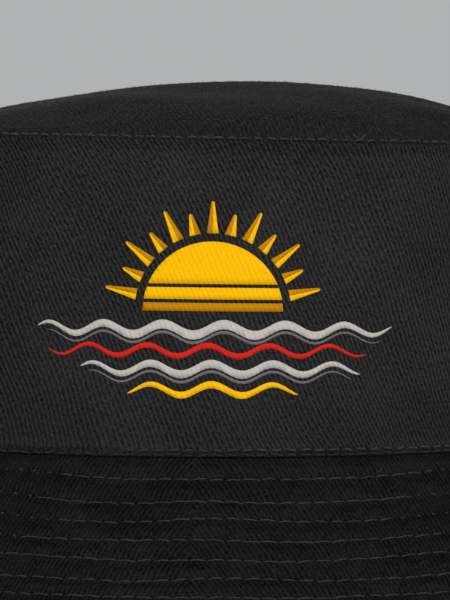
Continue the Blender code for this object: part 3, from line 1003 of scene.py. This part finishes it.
def make_band():
    """The sweatband, one strip whose ends meet at the middle of the back."""
    round_over = 0.35 * MM
    outer = np.linspace(0, BAND_HEIGHT - round_over, 8)
    outer[0] = -BAND_TUCKS[0]
    edge = BAND_HEIGHT - np.array([0.1, 0.0, 0.1]) * MM
    steps = mm(0, 1.0, 1.6, 2.2, 2.8, 3.6, 4.8)
    inner = edged_rows(BAND_HEIGHT - round_over, steps, stride=3 * MM)[::-1]
    inner[-1] = -BAND_TUCKS[1]
    rise = np.concatenate((outer, edge, inner))[:, None]
    depth = np.concatenate((0 * outer, np.array([0.15, 0.5, 0.85]) * CLOTH, 0 * inner + CLOTH))[:, None]
    turn = np.tile(strip_turns(BAND_COLUMNS), (len(rise), 1))
    rise = np.broadcast_to(rise, turn.shape)
    sag = band_inner(turn, rise)[0] - band_place(turn, rise, CLOTH)
    points = band_place(turn, rise, depth) + (0.9 + 0.1 * depth / CLOTH)[..., None] * sag
    uv = stacked(turn * BAND_A / MM, rise / MM)
    return shell("sweatband_cloth", points, turn, uv, BLACK_TAPE)


def seam_tape_face(turn, depth):
    """The tape over the top seam, up the wall's inner face and in under the top."""
    low = 1 - SEAM_TAPE_DROP / WALL_HEIGHT
    rise = np.linspace(low, 1, 6)[:, None]
    offset = wall_offset(rise) - CLOTH - GAP - depth
    x, y = oval(BASE_A + offset, BASE_B + offset, turn)
    wall = stacked(x, y, WALL_Z + (WALL_HEIGHT - GAP) * rise - SEAM_TILT * x * rise)
    share = np.array([0.985, 0.97, 0.95, 0.93])[:, None]
    x, y = oval(TOP_A * share, TOP_B * share, turn)
    inner = 1 - (CLOTH + GAP + depth) / TOP_A
    return np.concatenate((wall, stacked(x * inner, y * inner, tip_height(x, y, CLOTH) - GAP - depth)))


def make_seam_tape():
    turn = strip_turns(TAPE_COLUMNS)
    points = np.concatenate((seam_tape_face(turn, 0.0), seam_tape_face(turn, TAPE)[::-1]))
    rows = np.arange(len(points) // 2) * 1.3  # mm, about as far as they lie apart
    uv = stacked(turn * TOP_A / MM, np.concatenate((rows, rows[::-1]))[:, None])
    position = np.broadcast_to(turn, points.shape[:2])
    return shell("seam_tape_cloth", points, position, uv, BLACK_TAPE)


def make_side_tape(place, middle):
    """A tape over a side seam, inside, between the sweatband and the top seam's tape."""
    low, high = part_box("side_seam_tape_" + place)
    half = (high.y - low.y) / 2
    across = np.linspace(-half, half, 15)
    section = np.concatenate((across, across[::-1]))[:, None]
    ply = np.concatenate((0 * across, 0 * across + TAPE))[:, None]
    h = np.tile(np.linspace(low.z - WALL_Z, high.z - WALL_Z - 1.8 * MM, 26), (len(section), 1))
    edge_press = 0.12 * MM * (1 + np.cos(np.pi * section / half))
    turn = turn_at(middle + section)
    rise = h / WALL_HEIGHT
    offset = wall_offset(rise) - CLOTH - GAP - ply - edge_press
    x, y = oval(BASE_A + offset, BASE_B + offset, turn)
    points = stacked(x, y, WALL_Z + h - SEAM_TILT * x * rise)
    uv = stacked(section / MM, h / MM)
    return shell("side_tape_cloth_" + place, points[::-1], h, uv[::-1], BLACK_TAPE)


def make_tag():
    """A blank satin tag, folded double, that hangs from the sweatband's upper edge."""
    low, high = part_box("size_tag")
    width, height = high.x - low.x, high.z - low.z
    ply, bend = 0.22 * MM, 0.42 * MM
    drop = np.linspace(0.3 * MM, height - 1.0 * MM, 12)
    fold = np.radians([30, 60, 90, 120, 150])
    way = np.concatenate((drop, drop[-1] + bend * np.sin(fold), drop[::-1]))
    lift = np.concatenate((0 * drop, bend * (1 - np.cos(fold)), 0 * drop + 2 * bend)) + GAP + 0.7 * MM
    aside = unit(stacked(-np.gradient(lift), np.gradient(way))) * ply / 2
    way = np.concatenate((way + aside[:, 0], (way - aside[:, 0])[::-1]))[:, None]
    lift = np.concatenate((lift + aside[:, 1], (lift - aside[:, 1])[::-1]))[:, None]
    x = np.tile(np.linspace(-width / 2, width / 2, 24), (len(way), 1))
    lift = lift + 0.5 * MM * (2 * x / width) ** 2 * way / height
    turn = np.pi - x / BAND_A
    points = band_place(turn, BAND_HEIGHT - way + 0 * x, CLOTH) + lift[..., None] * inward(turn)
    uv = stacked(x / MM, way / MM)
    return shell("tag_cloth", points[::-1], x, uv[::-1], SATIN)


# Eyelets.


def eyelet_site(node):
    """The middle of an eyelet, the direction out of the wall there, and two directions along the wall."""
    low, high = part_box(node)
    middle = np.array((low + high) / 2)
    side = FRONT if middle[1] < 0 else BACK
    turn = math.atan2(side * middle[0] / BASE_A, -side * middle[1] / BASE_B)
    h = (middle[2] - WALL_Z) / (1 - SEAM_TILT * middle[0] / WALL_HEIGHT)
    out = wall_place(np.interp(turn, BASE_TURN, BASE_ARC), h, side)[1]
    level = unit(np.cross(out, (0, 0, 1)))
    return middle, out, level, np.cross(level, out)


def make_eyelet(node, seed):
    """A sewn eyelet: threads over a padded ring, through the hole and back, side by side."""
    middle, out, level, rise = eyelet_site(node)
    chance = np.random.RandomState(seed)
    wraps = 46
    radius = np.array([4.35, 4.15, 3.3, 2.4, 1.85, 1.7, 1.85, 2.4, 3.3, 4.15, 4.35]) * MM
    height = np.array([0.35, 0.75, 1.02, 0.98, 0.6, 0.0, -0.6, -0.98, -1.02, -0.75, -0.35]) * MM
    girth = np.array([0.7, 1, 1, 0.9, 0.75, 0.7, 0.75, 0.9, 1, 1, 0.7]) * 0.21 * MM
    angle = 2 * np.pi * (np.arange(wraps) + chance.normal(0, 0.12, wraps)) / wraps
    reach = radius * (1 + chance.normal(0, 0.02, (wraps, 1)) * (radius > 3 * MM))
    spoke = spokes(angle, level, rise)
    centres = middle + reach[..., None] * spoke[:, None] + height[:, None] * out
    outs = unit(np.gradient(height)[:, None] * spoke[:, None] - np.gradient(radius)[:, None] * out)
    girths = np.tile(girth, (wraps, 1))
    thread = tubes(node + "_thread", centres, outs, girths, sides=5, material=BLACK_THREAD)
    pad_radius = np.array([1.85, 2.3, 3.1, 3.9, 4.2, 3.9, 3.1, 2.3])[:, None, None] * MM
    pad_height = np.array([0.0, 0.75, 0.85, 0.6, 0.0, -0.6, -0.85, -0.75])[:, None, None] * MM
    turns = np.linspace(0, 2 * np.pi, 40)[:-1]
    points = middle + pad_radius * spokes(turns, level, rise) + pad_height * out
    uv = stacked(3 * turns, pad_radius[..., 0] / MM)
    closed_ring(node + "_pad", points, uv, BLACK_THREAD)
    return thread


# The print on the front: a half sun with rays over bands of waves, in millimetres from its middle.

PRINT_U, PRINT_H = mm(-3.6, 44.0)
FILM = 0.07 * MM  # how far it stands off the cloth
SUN_RADIUS = 19.5
SUN_BASE = -3.0
SUN_STRIPES = ((0.0, 2.3), (3.3, 6.6), (7.6, 19.49))  # heights above the base, the lowest in another colour
RAY_COUNT = 13
RAY_FIRST, RAY_STEP = 12, 13  # degrees
RAY_START, RAY_ENDS, RAY_WIDTH = 21.8, (30.5, 27.5), 3.2
WAVE_SWING, WAVE_LENGTH, WAVE_STEP = 1.5, 17.0, 0.8
WAVES = ((0.0, -8.2, 51.5, 2.6, 0.4), (2.0, -19.2, 40.0, 2.3, 2.4))  # as wave_band takes them
FINE = 0.33  # the longest step along an outline


def sun_band(low, high):
    """The part of the half disc between two heights above its base."""
    angle = np.linspace(math.asin(low / SUN_RADIUS), math.asin(high / SUN_RADIUS), 24)
    arc = [(SUN_RADIUS * math.cos(a), SUN_BASE + SUN_RADIUS * math.sin(a)) for a in angle]
    return arc + [(-x, y) for x, y in reversed(arc)]


def ray_halves(angle, end):
    """A tapering ray of the sun, as two halves along its length."""
    c, s = math.cos(angle), math.sin(angle)
    halves = []
    for side in (1, -1):
        root, point = -side * RAY_WIDTH / 2, -side * RAY_WIDTH / 7
        shape = [(RAY_START, 0.0), (RAY_START, root), (end, point), (end + 0.4, 0.0)]
        halves.append([(r * c - t * s, SUN_BASE + r * s + t * c) for r, t in shape])
    return halves if c > 0 else halves[::-1]


def wave_band(middle, height, half_length, thickness, phase):
    """A band that waves about a level line and tapers to points at its ends."""
    x = np.linspace(-half_length, half_length, int(half_length * 2 / WAVE_STEP))
    line = height + WAVE_SWING * np.sin(2 * np.pi * x / WAVE_LENGTH + phase)
    half = thickness / 2 * np.sqrt(np.clip(1 - (x / half_length) ** 2, 0, 1)) + 0.02
    return list(zip(x + middle, line - half)) + list(zip(x + middle, line + half))[::-1]


def finely(outline):
    """The same closed outline counter-clockwise, in short steps."""
    after = np.roll(outline, -1, axis=0)
    if np.sum(outline[:, 0] * after[:, 1] - outline[:, 1] * after[:, 0]) < 0:
        outline = outline[::-1]
        after = np.roll(outline, -1, axis=0)
    parts = []
    for a, b in zip(outline, after):
        steps = max(1, math.ceil(np.hypot(*(b - a)) / FINE))
        parts.append(a + (b - a) * np.arange(steps)[:, None] / steps)
    return np.concatenate(parts)


def on_wall(outline):
    """An outline, given in millimetres, as places on the side wall."""
    outline = finely(np.array(outline)) * MM
    h = PRINT_H + outline[:, 1]
    shrink = 1 - SIDE_TAPER * h / WALL_HEIGHT / BASE_A
    return PRINT_U + outline[:, 0] / shrink, h


def inside_outline(x, y, outline_x, outline_y):
    """Which places lie inside a closed outline."""
    inside = np.zeros(x.shape, bool)
    for i in range(len(outline_x)):
        x0, y0, x1, y1 = outline_x[i - 1], outline_y[i - 1], outline_x[i], outline_y[i]
        if y0 != y1:
            inside ^= ((y0 > y) != (y1 > y)) & (x < x0 + (x1 - x0) * (y - y0) / (y1 - y0))
    return inside


def film_face(u, h):
    """Triangles inside an outline, whose inner points are the wall's own: their places and their corners."""
    column, row = wall_ribs(u, h) * WALL_COLUMNS, np.interp(h, WALL_ROWS, np.arange(len(WALL_ROWS)))
    low, high = u.min() - 2 * MM, u.max() + 2 * MM
    wanted = np.arange(math.floor(column.min()), math.ceil(column.max()) + 1)
    flat, places = list(zip(column, row)), list(zip(u, h))
    for number, row_h in enumerate(WALL_ROWS):
        if not h.min() < row_h < h.max():
            continue
        row_u = where_ribs_are(lambda a: wall_ribs(a, row_h), low, high, wanted / WALL_COLUMNS)
        good = inside_outline(wanted, np.full(len(wanted), float(number)), column, row)
        flat += [(float(c), float(number)) for c in wanted[good]]
        places += [(a, row_h) for a in row_u[good]]
    ring = list(range(len(u)))
    points = [Vector(p) for p in flat]
    inside_only, tolerance = 1, 1e-6
    _, _, faces, origins, _, _ = geometry.delaunay_2d_cdt(points, [], [ring], inside_only, tolerance)
    origin = np.array([found[0] for found in origins])
    return np.array(places), origin[np.array([list(face) for face in faces])]


def make_film(name, outlines, material):
    """Ink on the twill, following its ribs, as thin closed pieces whose lower face is inside the cloth."""
    vertices, faces, uvs = [], [], []
    total = 0
    for outline in outlines:
        u, h = on_wall(outline)
        places, triangles = film_face(u, h)
        point, normal = wall_cloth(places[:, 0], places[:, 1], FRONT)
        uv = stacked(wall_ribs(places[:, 0], places[:, 1]), places[:, 1] / RIB_PITCH)
        count = len(places)
        vertices += [point + FILM * normal, point - 2 * FILM * normal]
        uvs += [uv, uv]
        faces += (triangles + total).tolist() + (triangles[:, ::-1] + total + count).tolist()
        loop = np.arange(len(u)) + total
        ahead = np.roll(loop, -1)
        faces += stacked(ahead, loop, loop + count, ahead + count).tolist()
        total += 2 * count
    put(name, np.concatenate(vertices), faces, material, np.concatenate(uvs))


# Lint.

FIBRE_HEIGHTS, FIBRE_DEPTHS = (4, 84), (3, 54)  # mm up the side, and down the brim
FIBRE_AROUND = (-0.98, 0.98)  # between the side seams


def on_panel(panel, chance, side, around, across, along, reach):
    """The cloth along a fibre at a random place on a panel. reach is the share of the top it may lie on."""
    if panel == "side":
        return wall_cloth(around + across, chance.uniform(*FIBRE_HEIGHTS) * MM + along, side, ribs=False)
    if panel == "brim":
        return brim_cloth(around + across, chance.uniform(*FIBRE_DEPTHS) * MM + along, side)
    angle, share = chance.uniform(0, 2 * np.pi), math.sqrt(chance.uniform(0, reach))
    x, y = TOP_A * share * math.cos(angle), TOP_B * share * math.sin(angle)
    return tip_cloth(x + across, y + along, ribs=False)


def make_lint(count=170, seed=77):
    """Short fibres caught on the cloth."""
    chance = np.random.RandomState(seed)
    centres, outs = [], []
    t = np.linspace(-0.5, 0.5, 5)
    for _ in range(count):
        kind, side = chance.uniform(), FRONT if chance.uniform() < 0.5 else BACK
        panel = "side" if kind < 0.55 else "top" if kind < 0.75 else "brim"
        around = chance.uniform(*FIBRE_AROUND) * QUARTER
        length, heading = chance.uniform(0.4, 1.9) * MM, chance.uniform(0, 2 * np.pi)
        bend = chance.normal(0, 1.3)
        across = length * (np.cos(heading) * t - np.sin(heading) * bend * (t**2 - 0.1))
        along = length * (np.sin(heading) * t + np.cos(heading) * bend * (t**2 - 0.1))
        point, normal = on_panel(panel, chance, side, around, across, along, reach=0.85)
        lift = 0.07 * MM + 0.12 * MM * chance.uniform() * (1 - (2 * t) ** 2)
        centres.append(point + lift[:, None] * normal)
        outs.append(normal)
    radii = np.full((count, 5), 0.03 * MM) * chance.uniform(0.8, 1.5, (count, 1))
    tubes("lint", centres, outs, radii, sides=3, material=LINT)


def make_fluff(tip_count=5600, wall_count=700, brim_count=400, seed=91):
    """Fine fibres of the cotton that stand up from the weave, most of them where the top is seen edge-on."""
    chance = np.random.RandomState(seed)
    rise = np.array([0.0, 1.0])
    centres, outs = [], []
    for panel in ["top"] * tip_count + ["side"] * wall_count + ["brim"] * brim_count:
        side = FRONT if chance.uniform() < 0.5 else BACK
        around = chance.uniform(*FIBRE_AROUND) * QUARTER
        length, heading = chance.uniform(0.3, 1.3) * MM, chance.uniform(0, 2 * np.pi)
        across = length * np.cos(heading) * rise
        along = length * np.sin(heading) * rise
        point, normal = on_panel(panel, chance, side, around, across, along, reach=0.96)
        centres.append(point + (chance.uniform(0.08, 0.35) * MM * rise)[:, None] * normal)
        outs.append(normal)
    radii = np.full((len(centres), 2), 0.042 * MM)
    tubes("fluff", centres, outs, radii, sides=3, material=FLUFF)


def make_thread_ends():
    """Short ends of sewing thread that stand up at the top seam: place round it, lean, length and bend."""
    ends = (
        (43.0, -1.9, 2.3, -0.3), (44.2, 0.3, 2.0, 0.4), (43.5, 1.0, 1.3, 0.0), (-43.5, 0.8, 1.0, 0.2),
        (-32.0, -0.7, 1.2, 0.3), (20.5, 0.5, 0.9, -0.2), (61.0, 0.9, 1.3, -0.3),
    )
    t = np.linspace(0, 1, 5)
    centres, outs = [], []
    for side in (FRONT, BACK):
        for around, lean, length, bend in ends:
            point, normal = tip_row(np.full(5, side * around * MM), side)
            aside = stacked(side * (lean * t + bend * t**2), 0.0, 0.0) * MM
            up = stacked(0.0, 0.0, length * t * (1 - 0.25 * t)) * MM
            centres.append(point + THREAD * normal + aside + up)
            outs.append(normal)
    radii = np.full((len(centres), 5), 0.09 * MM) * np.linspace(1.0, 0.6, 5)
    tubes("thread_ends", centres, outs, radii, sides=4, material=LINT)


# Putting it together.


def sew_hat():
    """All the rows of stitches that show, each with a seed of its own."""
    middles = middles_of(SEAM_COUNT)
    base, top, over, under, upright, band = [], [], [], [], [], []
    for index, (_, side) in enumerate(SIDES):
        for row, height in enumerate(BASE_ROWS):
            at = lambda a: wall_cloth(a, np.full(a.shape, height), side, ribs=False)
            length, girth = BASE_STITCH_LENGTHS[row], BASE_STITCH_GIRTHS[row]
            sunk = (middles > BASE_SUNK[0]) & (middles < BASE_SUNK[1]) & (row == 0)
            base.append(stitch_paths(at, middles[~sunk], length, 100 + 10 * index + row, girth=girth))
        at = lambda a: tip_row(a, side)
        top.append(stitch_paths(at, middles, SEAM_STITCH_LENGTH, 130 + index, girth=TOP_GIRTH))
        for row in range(len(BRIM_ROWS)):
            own = middles_of(brim_count(row))
            length = BRIM_STITCH_LENGTH / BRIM_STITCH * BRIM_ROW_STRETCH[row] * 2 * QUARTER / len(own)
            at = lambda a: brim_cloth(a, row_path(row, a, side), side)
            shares = 1 - SWALLOWED_SHARE * swallowed(row, own)
            over.append(stitch_paths(at, own, length, 200 + 20 * index + row, shares, BRIM_GIRTH))
            onto_fold = 1.0 * MM if row == len(BRIM_ROWS) - 1 else 0.0
            at = lambda a: brim_under_cloth(a, row_path(row, a, side) + onto_fold, side)
            under.append(stitch_paths(at, own, length, 300 + 20 * index + row))
        for end in (-1, 1):
            edge = end * (QUARTER - SIDE_SEAM_ROW)
            heights = np.arange(4.5 * MM, WALL_HEIGHT - 2.5 * MM, SEAM_STITCH)
            at = lambda a: wall_cloth(np.full(a.shape, edge), a, side, ribs=False)
            upright.append(stitch_paths(at, heights, SEAM_STITCH_LENGTH, 400 + 10 * index + end))
    turns = np.pi * (2 * (np.arange(BAND_STITCHES) + 0.5) / BAND_STITCHES - 1)
    for rise, seed in zip(BAND_ROWS, (500, 501)):
        at = lambda a: band_inner(a, np.full(a.shape, rise))
        band.append(stitch_paths(at, turns, SEAM_STITCH_LENGTH / BAND_A, seed))
    sew("base_seam_stitches", base)
    sew("top_seam_stitches", top)
    sew("brim_stitches_over", over, thread=BRIM_THREAD)
    sew("brim_stitches_under", under, sides=5, thread=BRIM_THREAD)
    sew("side_seam_stitches", upright)
    sew("sweatband_stitches", band, sides=5)


def make_hat():
    tip = make_tip()
    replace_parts(tip, "crown_tip")
    for number, (place, side) in enumerate(SIDES):
        wall = make_wall(place, side)
        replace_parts(wall, "side_panel_" + place)
        top = make_brim_top(place, side)
        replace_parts(top, "brim_top_" + place)
        under = make_brim_under(place, side)
        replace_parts(under, "brim_under_" + place)
        nodes = [f"eyelet_{hand}_{place}" for hand in ("left", "right")]
        bore(wall, [eyelet_site(node)[:2] for node in nodes], radius=2.5 * MM, reach=8 * MM)
        for node in nodes:
            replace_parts(make_eyelet(node, 600 + number + len(node)), node)
    band = make_band()
    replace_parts(band, "sweatband")
    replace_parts(make_seam_tape(), "top_seam_tape")
    for place, middle in (("left", QUARTER), ("right", -QUARTER)):
        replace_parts(make_side_tape(place, middle), "side_seam_tape_" + place)
    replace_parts(make_tag(), "size_tag")


def make_print():
    lowest, *others = [sun_band(*heights) for heights in SUN_STRIPES]
    make_film("print_sun", others, AMBER)
    rays = [ray_halves(math.radians(RAY_FIRST + RAY_STEP * i), RAY_ENDS[i % 2]) for i in range(RAY_COUNT)]
    make_film("print_rays", [light for light, _ in rays], AMBER)
    make_film("print_shades", [shade for _, shade in rays] + [lowest], BRONZE)
    make_film("print_waves", [wave_band(*wave) for wave in WAVES], SILVER)
    troughs = [wave_band(x, y - 2.2, half * 0.94, 0.8, phase) for x, y, half, _, phase in WAVES]
    make_film("print_troughs", troughs, STEEL)
    make_film("print_band", [wave_band(-2.0, -14.1, 46.0, 1.6, 1.3)], RED)
    make_film("print_foot", [wave_band(0.0, -25.0, 24.0, 2.0, 1.66)], AMBER)


# The studio.

CAMERA_DISTANCE = 1.472
CAMERA_HEIGHT = 0.135
LENS = 296.4
AIM_BELOW = math.radians(1.89)
LIGHT_AIM = Vector((0, 0, 0.09))
FLOOR_REACH = 12.0


def make_camera():
    camera = bpy.data.cameras.new("camera")
    camera.lens = LENS
    camera.sensor_width = 36.0
    camera.clip_start, camera.clip_end = 0.05, 60.0
    thing = add_object("camera", camera)
    thing.location = (0, -CAMERA_DISTANCE, CAMERA_HEIGHT)
    thing.rotation_euler = (math.pi / 2 - AIM_BELOW, 0, 0)
    bpy.context.scene.camera = thing


def add_light(name, place, size, power):
    """A round soft light that shines at the hat's middle and isn't seen itself."""
    lamp = bpy.data.lights.new(name, "AREA")
    lamp.shape = "DISK"
    lamp.size = size
    lamp.energy = power
    thing = add_object(name, lamp)
    thing.location = place
    thing.rotation_euler = (LIGHT_AIM - Vector(place)).to_track_quat("-Z", "Y").to_euler()
    thing.visible_camera = False


def make_studio():
    add_light("key", (0.9, -3.45, 1.76), size=2.1, power=136)
    add_light("fill", (-2.2, -1.6, 1.1), size=1.6, power=17)
    add_light("top", (0.2, 0.4, 2.6), size=1.8, power=5)
    add_light("rear", (-0.6, 2.6, 1.2), size=1.6, power=14)
    world = bpy.data.worlds.new("world")
    world.use_nodes = True
    sky = world.node_tree.nodes["Background"]
    sky.inputs["Color"].default_value = (0.80, 0.81, 0.82, 1)
    sky.inputs["Strength"].default_value = 0.55
    bpy.context.scene.world = world
    bpy.context.scene.view_settings.view_transform = "Standard"

    material, tree, shader = new_material("floor", roughness=0.8, specular=0.2, sheen=0.0)
    grain = noise(tree, place_of(tree), 40.0)
    finish_material(tree, shader, tone(tree, grain, 0.3, 0.7, grey(0.54), grey(0.55)), grain, 0.1 * MM)
    floor = bpy.data.meshes.new("floor")
    corners = [(x * FLOOR_REACH, y * FLOOR_REACH, 0) for x, y in ((-1, -1), (1, -1), (1, 1), (-1, 1))]
    floor.from_pydata(corners, [], [(0, 1, 2, 3)])
    floor.materials.append(material)
    thing = add_object("floor", floor)


make_hat()
sew_hat()
make_print()
make_lint()
make_thread_ends()
make_fluff()
make_camera()
make_studio()
